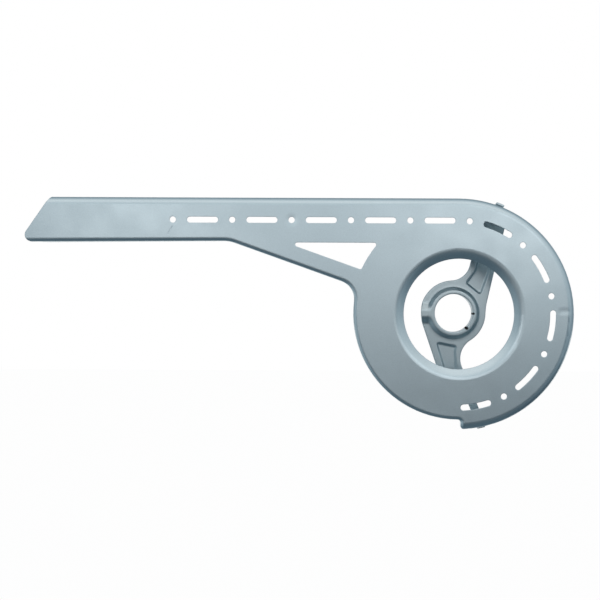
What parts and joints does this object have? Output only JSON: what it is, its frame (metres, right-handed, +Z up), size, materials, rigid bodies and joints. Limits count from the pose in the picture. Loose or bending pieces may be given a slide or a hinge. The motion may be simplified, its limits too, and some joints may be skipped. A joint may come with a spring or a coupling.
{
  "type": "bicycle chain guard",
  "caption": "Open chain guard of pressed sheet steel: a long arm and a round dished disc with a row of holes and slots, carried on the bottom bracket by a two-armed bracket.",
  "frame": {"origin": "on the bottom bracket axis, at the rear end of the bracket's neck, which seats toward the frame", "axes": "+X forward along the bicycle, +Z up, -Y out of the drive side, the way the outer face looks"},
  "size_m": [0.4887, 0.033, 0.2082],
  "materials": {
    "shell_paint": "semi-gloss metallic silver-blue paint",
    "bracket_paint": "semi-gloss grey-blue paint"
  },
  "bodies": {
    "root": {"guard_shell": "shell_paint", "bracket": "bracket_paint"}
  },
  "joints": []
}
